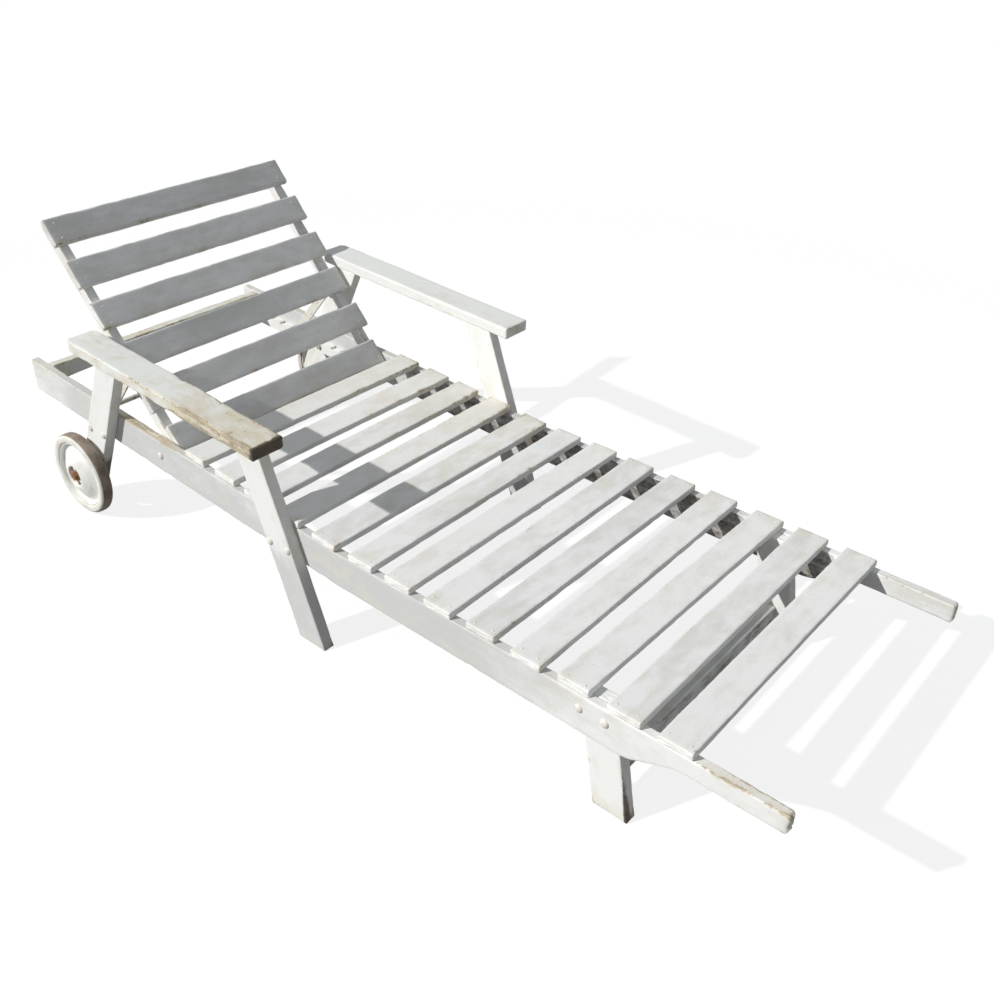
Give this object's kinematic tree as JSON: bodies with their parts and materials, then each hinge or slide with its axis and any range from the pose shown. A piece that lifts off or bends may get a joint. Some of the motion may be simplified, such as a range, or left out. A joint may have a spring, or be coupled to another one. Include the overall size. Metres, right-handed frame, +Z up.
{
  "type": "wooden chaise longue",
  "caption": "Slatted wooden chaise longue with carrying handles, plank armrests, a reclining back held by a swinging prop, and wheels at the head end.",
  "frame": {"origin": "on the ground, under the middle of the lounger's box", "axes": "+X from the head end with the wheels to the foot end with the handles, +Y to the far side, +Z up"},
  "size_m": [1.989, 0.7932, 0.6675],
  "materials": {
    "white_paint": "weathered matt white paint on wood",
    "worn_paint": "white paint worn to cream and bare wood",
    "rusty_steel": "rusted steel",
    "wheel_enamel": "white enamel",
    "rubber": "aged rubber, whitened on its side"
  },
  "bodies": {
    "frame": {"side_rail_near": "white_paint", "side_rail_far": "white_paint", "seat_slat_01": "white_paint", "seat_slat_02": "white_paint", "seat_slat_03": "white_paint", "seat_slat_04": "white_paint", "seat_slat_05": "white_paint", "seat_slat_06": "white_paint", "seat_slat_07": "white_paint", "seat_slat_08": "white_paint", "seat_slat_09": "white_paint", "seat_slat_10": "white_paint", "seat_slat_11": "white_paint", "seat_slat_12": "white_paint", "seat_slat_13": "white_paint", "head_crossbar": "worn_paint", "foot_stretcher": "white_paint", "front_leg_near": "white_paint", "front_leg_far": "white_paint", "rear_leg_near": "white_paint", "rear_leg_far": "white_paint", "foot_leg_near": "white_paint", "foot_leg_far": "white_paint", "armrest_near": "worn_paint", "armrest_far": "worn_paint", "prop_rack_near": "white_paint", "prop_rack_far": "white_paint", "hinge_bolt_near": "rusty_steel", "hinge_bolt_far": "rusty_steel", "hinge_nut_near": "rusty_steel", "hinge_nut_far": "rusty_steel", "wheel_axle_near": "rusty_steel", "wheel_axle_far": "rusty_steel", "axle_nut_near": "rusty_steel", "axle_nut_far": "rusty_steel"},
    "backrest": {"back_stile_near": "white_paint", "back_stile_far": "white_paint", "back_slat_1": "white_paint", "back_slat_2": "white_paint", "back_slat_3": "white_paint", "back_slat_4": "white_paint", "back_slat_5": "white_paint", "back_slat_6": "white_paint", "prop_bolt_near": "rusty_steel", "prop_bolt_far": "rusty_steel", "prop_nut_near": "rusty_steel", "prop_nut_far": "rusty_steel"},
    "prop": {"prop_arm_near": "rusty_steel", "prop_arm_far": "rusty_steel", "prop_bar": "rusty_steel"},
    "wheel_near": {"tyre_near": "rubber", "wheel_disc_near": "wheel_enamel", "wheel_hub_near": "rusty_steel"},
    "wheel_far": {"tyre_far": "rubber", "wheel_disc_far": "wheel_enamel", "wheel_hub_far": "rusty_steel"}
  },
  "joints": [
    {"name": "backrest_recline", "type": "hinge", "parent": "frame", "child": "backrest", "pos_m": [-0.4917, 0, 0.22926], "axis": [0, 1, 0], "range_deg": [-41.4, 19.2]},
    {"name": "prop_swing", "type": "hinge", "parent": "backrest", "child": "prop", "pos_m": [-0.6083, 0, 0.39665], "axis": [0, 1, 0], "range_deg": [-38.4, 82.8]},
    {"name": "wheel_near_spin", "type": "hinge", "parent": "frame", "child": "wheel_near", "pos_m": [-0.756, -0.3703, 0.098], "axis": [0, 1, 0], "continuous": true},
    {"name": "wheel_far_spin", "type": "hinge", "parent": "frame", "child": "wheel_far", "pos_m": [-0.756, 0.3703, 0.098], "axis": [0, 1, 0], "continuous": true}
  ],
  "couplings": [
    {"joint": "prop_swing", "follows": "backrest_recline", "ratio": -2}
  ]
}
